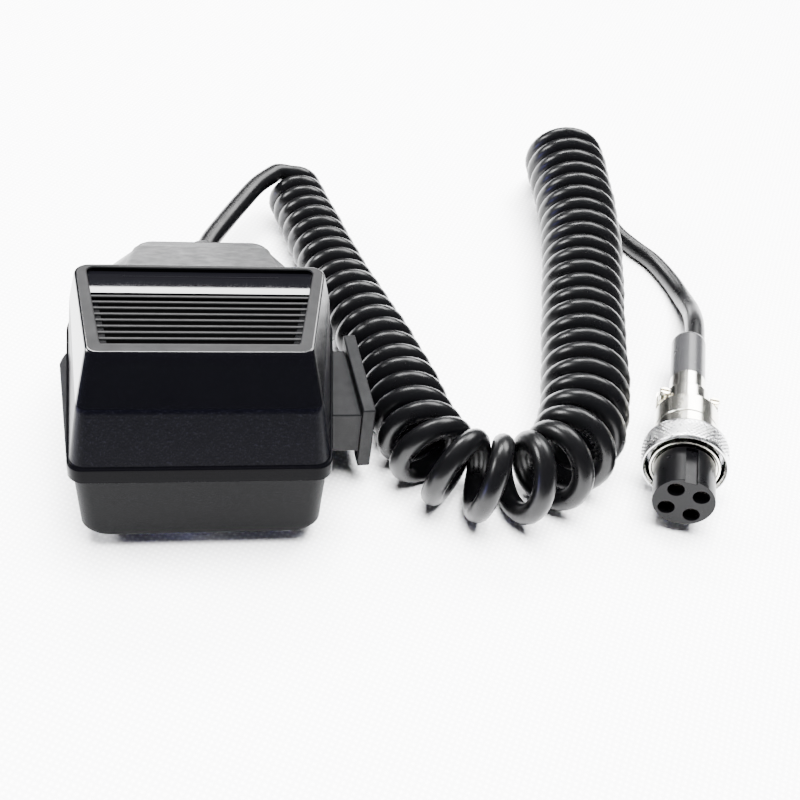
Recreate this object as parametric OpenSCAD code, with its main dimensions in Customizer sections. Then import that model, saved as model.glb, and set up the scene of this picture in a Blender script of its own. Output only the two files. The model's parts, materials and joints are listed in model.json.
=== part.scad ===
// Hand microphone with a curly cord and a four-contact plug.
// The handset lies on its back: +Z is its front face, -Y its top end, +Y its cord end, +X its lever side.
// The origin is under the middle of the handset, on the surface that it lies on.

/* [Handset] */
// Length of the handset from its top end to its cord end
body_len = 77; // [74:0.5:82]
// Height of the shells' joint above the surface
joint_z = 20.3; // [19.5:0.1:21]
// Height of the raised grille frame
frame_z = 42; // [40:0.5:44]
// Half width of the handset at its top end
near_half = 24.8; // [24:0.1:26]
// Half width of the handset at its widest place
wide_half = 28.3; // [27:0.1:29]
// Wall of the two shells
wall = 2.2; // [1.8:0.1:2.6]

/* [Grille] */
// Number of cross bars
bar_count = 9; // [7:1:11]
// Width of one cross bar
bar_w = 0.9; // [0.7:0.05:1.1]
// Outer diameter of the sound element
capsule_d = 23.6; // [20:0.1:24]

/* [Lever] */
// How far the lever's pad stands out from the middle of the handset
pad_out = 35.4; // [35:0.1:36.5]
// Height of the lever's pad
pad_h = 16; // [12:0.5:17]
// Diameter of the lever's pivot pin
pin_d = 2.5; // [2:0.1:3]

/* [Hang-up button] */
// Diameter of the button's head
button_d = 14; // [12:0.5:16]
// Diameter of the button's neck
button_neck_d = 8; // [7:0.5:9]

/* [Cord] */
// Diameter of the cord
cord_d = 4.8; // [4:0.1:5]

/* [Plug] */
// Diameter of the plug's insert
insert_d = 13.2; // [12.6:0.1:13.4]
// Outer diameter of the coupling ring
ring_d = 19.1; // [18.5:0.1:20]
// Circle on which the contacts stand
contact_pcd = 7.9; // [7.4:0.1:8]
// Angle between the plug and the handset's long axis, seen from above
plug_turn = 18.5; // [15:0.5:22]

/* [Hidden] */
$fn = 64;
eps = 0.02;

// Middle of the handset's box, which is where the origin stands
rib_out = 28.6;
centre_x = (pad_out - rib_out) / 2;
centre_y = body_len / 2;
module in_frame() { translate([-centre_x, -centre_y, 0]) children(); }

// ---- Outlines ------------------------------------------------------------

function unit(v) = v / norm(v);

// Arc that rounds the corner c between its neighbours p and q
function fillet(p, c, q, r, n) =
    let (u = unit(p - c), w = unit(q - c), half = acos(u * w) / 2,
         m = c + unit(u + w) * r / sin(half), t = r / tan(half),
         s = c + u * t - m, e = c + w * t - m,
         a0 = atan2(s[1], s[0]),
         da = (atan2(e[1], e[0]) - a0 + 540) % 360 - 180)
    [for (i = [0 : n]) m + r * [cos(a0 + da * i / n), sin(a0 + da * i / n)]];

// Convex outline with rounded corners: each point is [x, y, radius]
function rounded(pts, n = 6) =
    let (k = len(pts))
    [for (i = [0 : k - 1])
        let (p = pts[(i + k - 1) % k], c = pts[i], q = pts[(i + 1) % k])
        each fillet([p[0], p[1]], [c[0], c[1]], [q[0], q[1]], c[2], n)];

// Outline that is the same on both sides: its right half, from the top end on
function mirrored(half) =
    concat(half, [for (i = [len(half) - 1 : -1 : 0]) [-half[i][0], half[i][1], half[i][2]]]);

// Outlines of the shells at their heights, w inside the outer faces
module skirt_outline(w = 0) {
    polygon(rounded(mirrored([[near_half - w, w, 3.2], [wide_half - w, 44, 12],
                              [14 - w * 0.6, body_len - w, 4]])));
}
module crease_outline(w = 0) {
    polygon(rounded(mirrored([[near_half - 2 - w, 5 + w, 2.2], [26.8 - w, 42, 5],
                              [20 - w * 0.6, 47 - w, 3]])));
}
module frame_outline(w = 0) {
    polygon(rounded(mirrored([[20.9 - w, 12.6 + w, 2.2], [25.3 - w, 40.2 - w, 2.6]])));
}
module back_outline(w = 0) {
    polygon(rounded(mirrored([[near_half - 2.6 - w, 1.6 + w, 4.5], [25 - w, 44, 12],
                              [12 - w * 0.6, body_len - 1 - w, 4]])));
}
module opening_outline(w = 0) {
    polygon(rounded(mirrored([[18.5 - w, 15.1 + w, 1.2], [22.7 - w, 39.3 - w, 1.2]])));
}

// Heights of the front shell's creases and of its skirt
skirt_top = 23.9;
crease_z = 34;
tongue_near_z = 41;
tongue_far_z = 25.8;
tongue_near = 17.2;
tongue_far = 15.2;
tongue_end = 71;

slab_h = 0.1;
module slab(z) { translate([0, 0, z]) linear_extrude(slab_h) children(); }

// Cross-section of the handle's tongue at y
module tongue_section(y, half, top, low, r) {
    translate([0, y, 0]) rotate([90, 0, 0]) linear_extrude(slab_h)
        polygon(rounded([[half, top, r], [-half, top, r], [-half - 1, low, 0.3], [half + 1, low, 0.3]]));
}

// ---- Screw places --------------------------------------------------------

case_spots = [[-18.5, 8.5], [18.5, 8.5], [-10.5, 60], [10.5, 60]];
screw_r = 1.3;
button_y = 11.5;

// The back slopes from back_near_z at the top end down to the surface at the cord end
back_near_z = 4.2;
back_slope = atan(back_near_z / body_len);
function back_z(y) = back_near_z * (1 - y / body_len);

// ---- Shells --------------------------------------------------------------

// Body of the rear shell, w inside its outer faces
module rear_solid(w) {
    hull() {
        slab(joint_z - slab_h) skirt_outline(w + 0.9);
        translate([0, 0, back_near_z + w]) rotate([-back_slope, 0, 0])
            linear_extrude(slab_h) back_outline(w);
        translate([0, 0, back_near_z + w + 1.6]) rotate([-back_slope, 0, 0])
            linear_extrude(slab_h) skirt_outline(w + 1.5);
    }
}

// Slot in the right wall through which the lever passes
module lever_slot() {
    translate([20, 17.2, 8.2]) cube([12, 24.2, 16]);
}

module rear_shell() {
    color([0.13, 0.13, 0.14]) in_frame() difference() {
        union() {
            difference() {
                rear_solid(0);
                difference() {
                    union() {
                        rear_solid(wall);
                        translate([0, 0, joint_z - 1]) linear_extrude(2) skirt_outline(wall + 0.9);
                    }
                    for (s = case_spots) translate([s[0], s[1], 0]) cylinder(r = 3.2, h = joint_z);
                    translate([pivot[0], pivot[1], 0]) cylinder(r = 3, h = 8.6);
                    for (x = [-12, 12]) translate([x, 50, 0]) cylinder(r = 2.4, h = 10.9);
                    for (x = [-6.5, 6.5]) translate([x, 68, 0]) cylinder(r = 2.2, h = 8);
                    translate([0, button_y, 0]) cylinder(r = 6, h = 8);
                }
            }
            // Lips that centre the front shell
            translate([0, 0, joint_z - 0.5]) linear_extrude(2) intersection() {
                difference() {
                    skirt_outline(wall + 0.1);
                    skirt_outline(wall + 1.2);
                }
                translate([-wide_half, 13]) square([2 * wide_half, 22]);
            }
        }
        for (s = case_spots) translate([s[0], s[1], -1]) {
            cylinder(r = screw_r + 0.2, h = joint_z + 3);
            cylinder(r = 2.7, h = back_z(s[1]) + 3);
        }
        translate([pivot[0], pivot[1], 5]) cylinder(r = pin_d / 2, h = 6);
        for (x = [-12, 12]) translate([x, 50, 4]) cylinder(r = 0.9, h = 8);
        for (x = [-6.5, 6.5]) translate([x, 68, 3]) cylinder(r = 0.9, h = 8);
        translate([0, button_y, 0]) cylinder(r = 1.6, h = 12);
        lever_slot();
        translate([0, body_len - 8, cord_z]) rotate([-90, 0, 0]) cylinder(d = gland_neck_d + 0.1, h = 12);
    }
}

// Body of the front shell, w inside its outer faces, with its top at top_z
module front_solid(w, top_z) {
    translate([0, 0, joint_z]) linear_extrude(skirt_top - joint_z) skirt_outline(w);
    hull() {
        slab(skirt_top - 1) skirt_outline(w + 0.5);
        slab(crease_z - w * 0.6) crease_outline(w);
    }
    hull() {
        slab(crease_z - w * 0.6 - 0.3) crease_outline(w);
        slab(top_z - slab_h) frame_outline(w);
    }
}
module tongue_solid(w) {
    hull() {
        tongue_section(38, tongue_near - w, tongue_near_z - w, joint_z, 1.6);
        tongue_section(tongue_end - w, tongue_far - w, tongue_far_z - w, joint_z, 1.6);
    }
}

module front_shell() {
    color([0.05, 0.05, 0.07]) in_frame() difference() {
        union() {
            difference() {
                union() {
                    front_solid(0, frame_z);
                    tongue_solid(0);
                }
                difference() {
                    union() {
                        front_solid(wall, frame_z - 4.8);
                        tongue_solid(wall);
                        translate([0, 0, joint_z - 1]) linear_extrude(2) skirt_outline(wall);
                    }
                    for (s = case_spots) translate([s[0], s[1], joint_z]) cylinder(r = 2.9, h = 30);
                    // Ring that holds the sound element
                    translate([0, capsule_y, 30]) difference() {
                        cylinder(d = capsule_d + 4, h = 20);
                        translate([0, 0, -1]) cylinder(d = capsule_d + 0.4, h = 22);
                    }
                    translate([pivot[0], pivot[1], joint_z + 1.6]) cylinder(r = 3, h = 20);
                }
            }
            // Rib along the left side
            translate([0, 0, joint_z]) linear_extrude(skirt_top - joint_z)
                polygon([[-near_half + 1, 1.8], [-near_half - 0.1, 2.2], [-rib_out, 31], [-27.6, 34],
                         [-26.6, 34]]);
        }
        // Seat of the grille, and the sound opening under it
        translate([0, 0, grille_z]) linear_extrude(5) opening_outline(0);
        translate([0, 0, frame_z - 6]) linear_extrude(5) opening_outline(1.3);
        for (s = case_spots) translate([s[0], s[1], joint_z - 1]) cylinder(r = screw_r, h = 9);
        translate([pivot[0], pivot[1], joint_z - 1]) cylinder(r = pin_d / 2, h = 4.5);
    }
}

// ---- Grille and sound element ---------------------------------------------

grille_z = 39.1;
bar_near = 15.9;
bar_far = 31.7;
strip_near = 32.1;
capsule_y = 24.5;
bar_pitch = (bar_far - bar_near) / (bar_count - 0.5);

module grille() {
    color([0.55, 0.55, 0.56]) in_frame() {
        difference() {
            translate([0, 0, grille_z]) linear_extrude(0.9) opening_outline(0.1);
            intersection() {
                translate([0, 0, grille_z - 1]) linear_extrude(3) opening_outline(1.5);
                for (i = [0 : bar_count - 1])
                    translate([-30, bar_near + i * bar_pitch + bar_w - 0.05, grille_z - 1])
                        cube([60, bar_pitch - bar_w + 0.1, 3]);
            }
        }
        intersection() {
            translate([0, 0, grille_z]) linear_extrude(3) opening_outline(0.1);
            for (i = [0 : bar_count - 1])
                translate([-30, bar_near + i * bar_pitch, grille_z + 0.5]) cube([60, bar_w, 1.5]);
        }
    }
}

module label_strip() {
    color([0.04, 0.04, 0.05]) in_frame() intersection() {
        translate([0, 0, grille_z + 0.9]) linear_extrude(1.2) opening_outline(0.15);
        translate([-30, strip_near, 0]) cube([60, 20, 60]);
    }
}

module grille_cloth() {
    color([0.02, 0.02, 0.02]) in_frame()
        translate([0, 0, grille_z - 0.35]) linear_extrude(0.3) opening_outline(1.4);
}

// A disc of the sound element
module disc(d, z, h, bore = 0) {
    in_frame() translate([0, capsule_y, z]) difference() {
        cylinder(d = d, h = h);
        if (bore > 0) translate([0, 0, -1]) cylinder(d = bore, h = h + 2);
    }
}

module capsule_gasket() { color([0.1, 0.1, 0.1]) disc(capsule_d - 0.2, 35.3, 0.7, 19); }
module capsule_can() {
    color([0.6, 0.6, 0.62]) in_frame() translate([0, capsule_y, 27.2]) difference() {
        cylinder(d = capsule_d, h = 8);
        translate([0, 0, 0.8]) cylinder(d = capsule_d - 1.6, h = 8);
    }
}
module capsule_magnet() {
    color([0.35, 0.35, 0.37]) in_frame() translate([0, capsule_y, 28.05]) {
        difference() {
            cylinder(d = 18, h = 5);
            translate([0, 0, 1.4]) cylinder(d = 14, h = 5);
        }
        translate([0, 0, 1]) cylinder(d = 12.4, h = 4);
    }
}
module capsule_diaphragm() {
    color([0.75, 0.72, 0.6]) in_frame() translate([0, capsule_y, 34]) difference() {
        union() {
            cylinder(d = capsule_d - 1.8, h = 0.3);
            translate([0, 0, -8.4]) intersection() {
                sphere(r = 9.4);
                translate([0, 0, 8.4]) cylinder(r = 8, h = 3);
            }
        }
        translate([0, 0, -8.7]) sphere(r = 9.3);
    }
}

// ---- Board and switch ------------------------------------------------------

board_z = 11;
switch_y = 26;
switch_out = 14;
module circuit_board() {
    color([0.16, 0.36, 0.2]) in_frame() difference() {
        translate([-15, 15, board_z]) cube([29, 38.5, 1.6]);
        for (x = [-12, 12]) translate([x, 50, 0]) cylinder(r = 1.1, h = 30);
        at_terminals() cylinder(r = 0.4, h = 30);
    }
}
module at_terminals() {
    for (x = [7.5, 10, 12.5], y = [-3.2, 3.2]) translate([x, switch_y + y, 0]) children();
}
module switch_body() {
    color([0.1, 0.1, 0.1]) in_frame() difference() {
        translate([6, switch_y - 5, board_z + 1.6]) cube([switch_out - 6, 10, 6.5]);
        translate([8, switch_y, 16]) rotate([0, 90, 0]) cylinder(r = 1.55, h = 10);
    }
}
module switch_terminals() {
    color([0.8, 0.7, 0.4]) in_frame()
        at_terminals() translate([0, 0, board_z - 1.2]) cylinder(r = 0.3, h = 2.8);
}
module switch_plunger() {
    color([0.9, 0.9, 0.88]) in_frame()
        translate([11.2, switch_y, 16]) rotate([0, 90, 0]) cylinder(r = 1.5, h = 8.7);
}

// ---- Lever -----------------------------------------------------------------

pivot = [19, 46];
pad_near = 18.3;
pad_far = 43.1;
pad_t = 2.7;
pad_low = 5.8;
web_low = 9.4;
web_h = 10.4;
module ptt_lever() {
    color([0.2, 0.2, 0.21]) in_frame() {
        // Pad outside the shell
        translate([0, 0, pad_low]) linear_extrude(pad_h) polygon([
            [pad_out, pad_near], [pad_out - 2.1, pad_far],
            [pad_out - 2.1 - pad_t, pad_far - 0.2], [pad_out - pad_t, pad_near - 0.2]]);
        // Web through the slot, with its arm and eye inside
        translate([0, 0, web_low]) difference() {
            linear_extrude(web_h) union() {
                polygon([[pad_out - pad_t + 0.3, pad_near + 0.8], [pad_out - 2.1 - pad_t + 0.2, 40],
                         [24, 40], [21.6, 43], [21.6, 46],
                         [16.4, 46], [16.4, 42], [20.2, 38], [20.2, pad_near + 0.8]]);
                translate(pivot) circle(r = 3.1);
            }
            translate([pivot[0], pivot[1], -1]) cylinder(r = pin_d / 2 + 0.05, h = 20);
            // Room for the spring above the eye
            translate([pivot[0], pivot[1], 6.6]) cylinder(r = 4.2, h = 10);
            translate([pivot[0] - 4.5, pivot[1] - 4.5, 6.6]) cube([9, 9, 10]);
        }
    }
}
module ptt_pin() {
    color([0.75, 0.75, 0.77]) in_frame() translate([pivot[0], pivot[1], 5.2]) cylinder(d = pin_d, h = 18.4);
}
spring_wire = 0.7;
spring_turns = 3.5;
spring_r = 2.1;
spring_leg = 3.2;
// Coiled wire round the pin with a straight leg at each end
spring_route = concat(
    [[-spring_leg, -spring_r, 0.4]],
    [for (a = [-90 : 30 : spring_turns * 360 - 90])
        [spring_r * cos(a), spring_r * sin(a), 0.4 + 0.74 * (a + 90) / 360]],
    [[-spring_leg, spring_r, 0.4 + 0.74 * spring_turns]]);
module ptt_spring() {
    color([0.7, 0.7, 0.72]) in_frame() translate([pivot[0], pivot[1], web_low + 6.75])
        tube(spring_route, same(spring_route, spring_wire / 2), 1, 6);
}

// ---- Hang-up button, screws, cord clamp ------------------------------------

module hanger_button() {
    color([0.8, 0.8, 0.82]) in_frame() translate([0, button_y, 0]) difference() {
        union() {
            cylinder(d = button_d, h = 1.9);
            cylinder(d = button_neck_d, h = back_z(button_y) - 0.3);
        }
        translate([0, 0, 0.9]) cylinder(r = 1.25, h = 10);
    }
}
module hanger_screw() {
    color([0.75, 0.75, 0.77]) in_frame() translate([0, button_y, 0]) {
        translate([0, 0, 1]) cylinder(r = 1.2, h = 8);
        translate([0, 0, 8.05]) cylinder(r = 2.8, h = 1.7);
    }
}
module case_screws() {
    color([0.7, 0.7, 0.72]) in_frame() for (s = case_spots) translate([s[0], s[1], back_z(s[1])]) {
        difference() {
            translate([0, 0, 0.2]) cylinder(r = 2.5, h = 1.75);
            for (a = [0, 90]) rotate(a) translate([-1.4, -0.3, -0.5]) cube([2.8, 0.6, 1.5]);
        }
        translate([0, 0, 1.9]) cylinder(r = screw_r - 0.05, h = joint_z + 6 - back_z(s[1]));
    }
}
module cord_clamp() {
    color([0.15, 0.15, 0.15]) in_frame() difference() {
        translate([-9, 66, 8.05]) cube([18, 4, 2.4]);
        for (x = [-6.5, 6.5]) translate([x, 68, 0]) cylinder(r = 1.1, h = 20);
    }
}
module cord_clamp_screws() {
    color([0.7, 0.7, 0.72]) in_frame() for (x = [-6.5, 6.5]) translate([x, 68, 0]) {
        translate([0, 0, 4.2]) cylinder(r = 0.85, h = 6.3);
        translate([0, 0, 10.48]) cylinder(r = 1.9, h = 1.3);
    }
}

// ---- Cord gland --------------------------------------------------------------

cord_z = 13;
gland_neck_d = 8.6;
gland_end = 9;
module cord_gland() {
    color([0.07, 0.07, 0.07]) in_frame() translate([0, body_len, cord_z]) rotate([-90, 0, 0])
        difference() {
            rotate_extrude() polygon([[0, -5.6], [5.4, -5.6], [5.4, -3.6], [gland_neck_d / 2, -3.6],
                [gland_neck_d / 2, 0.2], [5.2, 0.2], [5.2, 1.8], [4.4, 2.4],
                [cord_d / 2 + 1, gland_end], [0, gland_end]]);
            translate([0, 0, -6]) cylinder(d = cord_d + 0.06, h = 30);
        }
}

// ---- Cord ----------------------------------------------------------------------

// Routes of the cord in the handset's own place: x, y and z of hand-chosen points
lead_route = [[0, 70, 13], [0, 78, 13], [0.3, 84, 13], [1.8, 90, 13.2], [5.5, 98, 13.5],
              [10, 107, 13.6], [15, 115, 13.6], [20, 120.5, 13.4], [24, 121.5, 12.6]];
coil_route = [[24.2, 125, 7.8], [27, 112, 7.9], [30, 98, 8.1], [33, 84, 8.3], [36.6, 70, 8.5],
              [40.6, 56, 8.8], [43.6, 44, 9], [45.2, 34, 9.3], [46.4, 25, 9.6], [49.5, 16.6, 9.9],
              [56, 11.2, 10], [64, 9.5, 10.1], [72, 11.5, 10.2], [79, 17.5, 10.3],
              [84, 27, 10.4], [87.4, 39, 10.5], [91, 56, 10.8], [94.6, 72, 11.4], [98, 88, 12.4],
              [100.4, 104, 13.6], [101.6, 119, 14.7], [102.4, 134, 15.6]];
coil_radius = [7.7, 7.8, 8, 8.2, 8.4, 8.6, 8.7, 9, 9.4, 9.7, 9.8, 9.8, 9.9, 10, 10.2, 10.3, 10.4,
               10.4, 10.5, 10.7, 10.9, 11.1];
tail_route = [[96.6, 131, 9.2], [96.9, 136, 8.4], [98.4, 141, 6], [101.6, 145, 3.4],
              [106.4, 146.8, 2.4], [111.2, 144.4, 2.4], [114, 138, 2.4], [115, 130, 2.4],
              [115.4, 121, 2.4], [116.6, 113, 2.4], [119.8, 106, 2.4], [123.4, 99.5, 2.4],
              [125.6, 91, 2.6], [126.2, 82, 3.4], [125.2, 73, 5.8], [122.8, 64.5, 8.4],
              [119.7, 55.5, 9.6]];

// Point at t on a smooth curve through the list p
function at(p, i) = p[max(0, min(len(p) - 1, i))];
function smooth(p, t) =
    let (i = min(floor(t), len(p) - 2), f = t - i,
         a = at(p, i - 1), b = at(p, i), c = at(p, i + 1), d = at(p, i + 2))
    0.5 * (2 * b + (c - a) * f + (2 * a - 5 * b + 4 * c - d) * f * f + (3 * b - a - 3 * c + d) * f * f * f);

// Tube along the smooth curve: steps rings for each stretch, sides round each ring
module tube(route, radii, steps, sides) {
    count = (len(route) - 1) * steps;
    ring_points = [for (k = [0 : count])
        let (t = k / steps, r = smooth(radii, t),
             lo = smooth(route, max(t - 0.05, 0)), hi = smooth(route, min(t + 0.05, len(route) - 1)),
             along = unit(hi - lo), across = unit(cross(along, [0, 0, 1])), up = cross(across, along))
        for (j = [0 : sides - 1])
            smooth(route, t) + r * (cos(j * 360 / sides) * across + sin(j * 360 / sides) * up)];
    polyhedron(ring_points, concat(
        [[for (j = [0 : sides - 1]) j]],
        [for (k = [0 : count - 1], j = [0 : sides - 1])
            let (a = k * sides + j, b = k * sides + (j + 1) % sides)
            [a, a + sides, b + sides, b]],
        [[for (j = [sides - 1 : -1 : 0]) count * sides + j]]));
}
function same(route, r) = [for (p = route) r];

module cord_lead() { color([0.05, 0.05, 0.05]) in_frame() tube(lead_route, same(lead_route, cord_d / 2), 1, 10); }
module cord_coil() { color([0.05, 0.05, 0.05]) in_frame() tube(coil_route, coil_radius, 1, 12); }
module cord_tail() { color([0.05, 0.05, 0.05]) in_frame() tube(tail_route, same(tail_route, cord_d / 2), 1, 10); }

// ---- Plug -----------------------------------------------------------------------

// The plug's own frame: +Y runs from the insert's front face towards the cord
plug_face = [100.4, 2.6, 9.6];
insert_r = insert_d / 2;
contact_angle = 38;
// Key groove along the top of the insert
groove_w = 2.6;
groove_depth = 0.9;
// Where the set screw goes through the sleeve, and how far the contacts reach behind the face
set_screw_y = 19.4;
contact_start = 3;
contact_end = 18;
module in_plug() {
    in_frame() translate(plug_face) rotate([0, 0, -plug_turn]) children();
}
// Turned piece of the plug: its outline is [radius, distance along the plug]
module turned(outline) { in_plug() rotate([-90, 0, 0]) rotate_extrude() polygon(outline); }
// Places of the four contacts
module at_contacts() {
    for (k = [0 : 3]) rotate([0, -contact_angle - 90 * k, 0]) translate([contact_pcd / 2, 0, 0])
        rotate([-90, 0, 0]) children();
}

step_y = 10.6;
front_end = 22;
neck_r = 5.9;
sleeve_r = insert_r + 0.5;
module plug_insert() {
    color([0.1, 0.1, 0.11]) in_plug() difference() {
        union() {
            rotate([-90, 0, 0]) cylinder(r = insert_r, h = step_y - 0.4);
            rotate([-90, 0, 0]) cylinder(r = neck_r, h = 17);
        }
        translate([0, -1, 0]) at_contacts() cylinder(r = 1.8, h = 20);
        rotate([0, -90, 0]) translate([insert_r - groove_depth, -1, -groove_w / 2]) cube([3, 11, groove_w]);
    }
}
module plug_contacts() {
    color([0.8, 0.78, 0.7]) in_plug() translate([0, contact_start, 0]) at_contacts() difference() {
        cylinder(r = 1.75, h = contact_end - contact_start);
        translate([0, 0, -1]) cylinder(r = 1.2, h = 13);
    }
}
module plug_front_body() {
    color([0.85, 0.85, 0.87]) difference() {
        turned([[neck_r + 0.03, step_y], [collar_r, step_y], [collar_r, 12], [sleeve_r, 12.2],
                [sleeve_r, front_end], [neck_r + 0.03, front_end]]);
        in_plug() rotate([0, -contact_angle, 0]) translate([4, set_screw_y, 0])
            rotate([0, 90, 0]) cylinder(r = 1.15, h = 6);
    }
}
module plug_set_screw() {
    color([0.8, 0.8, 0.82]) in_plug() rotate([0, -contact_angle, 0]) translate([5.6, set_screw_y, 0])
        rotate([0, 90, 0]) difference() {
            cylinder(r = 1.1, h = 1.5);
            translate([-1.5, -0.2, 1.1]) cube([3, 0.4, 1]);
        }
}
saddle_y = 28;
saddle_end = 34.4;
saddle_r = 4.9;
clamp_x = 5.7;
boot_r = 4.1;
// Half of the cord clamp: the lower cradle when up is 0, the upper bar when it is 1
module clamp_half(up) {
    difference() {
        intersection() {
            translate([0, saddle_y, 0]) union() {
                rotate([-90, 0, 0]) translate([0, 0, up * 0.3])
                    cylinder(r = up > 0 ? saddle_r : sleeve_r, h = saddle_end - saddle_y - up * 0.3);
                translate([-clamp_x - 1.1, 1.6, 0]) cube([2 * clamp_x + 2.2, saddle_end - saddle_y - 2.2, 2]);
            }
            translate([-10, 0, up > 0 ? 0.3 : -10]) cube([20, 60, up > 0 ? 9.7 : 10]);
        }
        rotate([-90, 0, 0]) cylinder(r = boot_r + 0.05, h = 60);
        for (x = [-clamp_x, clamp_x]) translate([x, saddle_y + 3.7, -3]) cylinder(r = 0.85, h = 20);
    }
}
module plug_rear_body() {
    color([0.85, 0.85, 0.87]) {
        turned([[5, front_end + 0.1], [sleeve_r, front_end + 0.1], [sleeve_r, 27.4], [sleeve_r - 0.7, saddle_y + 0.1],
                [boot_r + 0.05, saddle_y + 0.1], [5, 26.6]]);
        in_plug() clamp_half(0);
    }
}
module plug_clamp_bar() { color([0.85, 0.85, 0.87]) in_plug() clamp_half(1); }
module plug_clamp_screws() {
    color([0.8, 0.75, 0.6]) in_plug() for (x = [-clamp_x, clamp_x]) translate([x, saddle_y + 3.7, 0]) {
        translate([0, 0, -2.6]) cylinder(r = 0.8, h = 5);
        difference() {
            translate([0, 0, 2.05]) cylinder(r = 1.2, h = 1.2);
            translate([-2, -0.25, 2.7]) cube([4, 0.5, 1]);
        }
    }
}
boot_end = 55.4;
module plug_boot() {
    color([0.35, 0.36, 0.37]) turned([[cord_d / 2 + 0.03, saddle_y + 0.6], [boot_r, saddle_y + 0.6],
        [boot_r, boot_end - 1], [boot_r - 0.6, boot_end], [cord_d / 2 + 0.03, boot_end]]);
}

// ---- Coupling ring ----------------------------------------------------------------

ring_front = 10.4;
ring_back = 16.6;
thread_r = 8.75;
collar_r = 7.65;
flange_y = 15;
knurl_count = 40;
module coupling_ring() {
    color([0.85, 0.85, 0.87]) difference() {
        turned([[thread_r + 0.1, ring_front], [ring_d / 2 - 0.3, ring_front], [ring_d / 2, ring_front + 0.4],
                [ring_d / 2, ring_back - 0.4], [ring_d / 2 - 0.4, ring_back], [sleeve_r + 0.08, ring_back],
                [sleeve_r + 0.08, flange_y], [thread_r, flange_y], [thread_r, ring_front + 0.4]]);
        in_plug() for (k = [0 : knurl_count - 1]) rotate([0, k * 360 / knurl_count, 0])
            translate([ring_d / 2, ring_front + 0.9, 0]) rotate([-90, 0, 0]) cylinder(r = 0.3, h = 4.8, $fn = 4);
    }
}
module ring_washer() {
    color([0.9, 0.9, 0.88]) turned([[sleeve_r + 0.08, 14], [thread_r - 0.3, 14], [thread_r - 0.3, 14.7],
                                    [sleeve_r + 0.08, 14.7]]);
}

rear_shell();
front_shell();
grille();
label_strip();
grille_cloth();
capsule_can();
capsule_magnet();
capsule_diaphragm();
capsule_gasket();
circuit_board();
switch_body();
switch_terminals();
ptt_pin();
hanger_button();
hanger_screw();
case_screws();
cord_clamp();
cord_clamp_screws();
cord_gland();
ptt_lever();
ptt_spring();
switch_plunger();
cord_lead();
cord_coil();
cord_tail();
plug_insert();
plug_contacts();
plug_front_body();
plug_rear_body();
plug_clamp_bar();
plug_clamp_screws();
plug_set_screw();
plug_boot();
ring_washer();
coupling_ring();
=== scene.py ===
import json
import math

import bmesh
import bpy
import numpy as np
from bpy.props import FloatProperty, IntProperty, PointerProperty
from bpy.types import Operator, Panel, PropertyGroup
from mathutils import Euler, Matrix, Vector

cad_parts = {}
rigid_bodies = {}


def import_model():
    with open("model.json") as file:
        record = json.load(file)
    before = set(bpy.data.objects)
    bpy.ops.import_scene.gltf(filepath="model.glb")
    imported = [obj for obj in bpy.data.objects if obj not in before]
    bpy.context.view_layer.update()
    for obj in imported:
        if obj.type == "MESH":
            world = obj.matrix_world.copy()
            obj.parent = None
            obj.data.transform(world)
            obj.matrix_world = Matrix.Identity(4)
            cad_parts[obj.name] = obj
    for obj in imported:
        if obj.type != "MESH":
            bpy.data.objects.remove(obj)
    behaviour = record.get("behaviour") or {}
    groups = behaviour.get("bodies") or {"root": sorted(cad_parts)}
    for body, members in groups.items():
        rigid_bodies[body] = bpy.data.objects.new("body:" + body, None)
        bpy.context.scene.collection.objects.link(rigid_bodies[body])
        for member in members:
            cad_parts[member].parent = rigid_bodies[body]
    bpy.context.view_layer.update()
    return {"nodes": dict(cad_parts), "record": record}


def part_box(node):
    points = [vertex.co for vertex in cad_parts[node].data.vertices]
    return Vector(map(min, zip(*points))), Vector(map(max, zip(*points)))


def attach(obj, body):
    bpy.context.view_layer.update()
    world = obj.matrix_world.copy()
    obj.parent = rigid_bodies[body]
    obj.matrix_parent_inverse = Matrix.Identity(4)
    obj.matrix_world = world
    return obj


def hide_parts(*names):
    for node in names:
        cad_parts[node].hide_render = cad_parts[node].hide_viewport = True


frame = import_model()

bl_info = {
    "name": "Hand microphone",
    "blender": (4, 2, 0),
    "version": (1, 0, 0),
    "location": "3D View > Sidebar > Microphone",
    "description": "Builds a hand microphone with a curly cord and a four-contact plug",
    "category": "Add Mesh",
}

MM = 0.001
# Millimetres in the handset's own frame, and degrees
BODY_LENGTH = 77
CORD_HEIGHT = 13
CAMERA_PLACE = (0.874, -159.35, 186.84)
CAMERA_ANGLES = (48.02, -6.07, -6.974)
# Distance from the plug's face to the middle of the mount that marks its insert
INSERT_MIDDLE = 5.1


# ---- Places --------------------------------------------------------------------

def handset_place():
    """Matrix from the handset's own millimetres (middle plane, top end, surface) to the frame."""
    low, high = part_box("rear_shell")
    front_low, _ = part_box("front_shell")
    return Matrix.Translation(((low.x + high.x) / 2, front_low.y, 0)) @ Matrix.Scale(MM, 4)


def plug_place():
    """Matrix from the plug's own millimetres to the frame: +Y runs from its face to the cord."""
    mounts = frame["record"]["mounts"]
    mount = next(m for m in mounts if m["name"] == "plug_insert_pin")
    low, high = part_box("plug_insert")
    boot_low, boot_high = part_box("plug_boot")
    along = Vector(mount["axis"]).normalized()
    if along.dot((boot_low + boot_high) - (low + high)) < 0:
        along.negate()
    face = Vector(mount["pos_m"]) - along * INSERT_MIDDLE * MM
    side = along.cross(Vector((0, 0, 1)))
    turn = Matrix((side, along, Vector((0, 0, 1)))).transposed().to_4x4()
    return Matrix.Translation(face) @ turn @ Matrix.Scale(MM, 4)


# ---- Outlines ------------------------------------------------------------------

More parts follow.
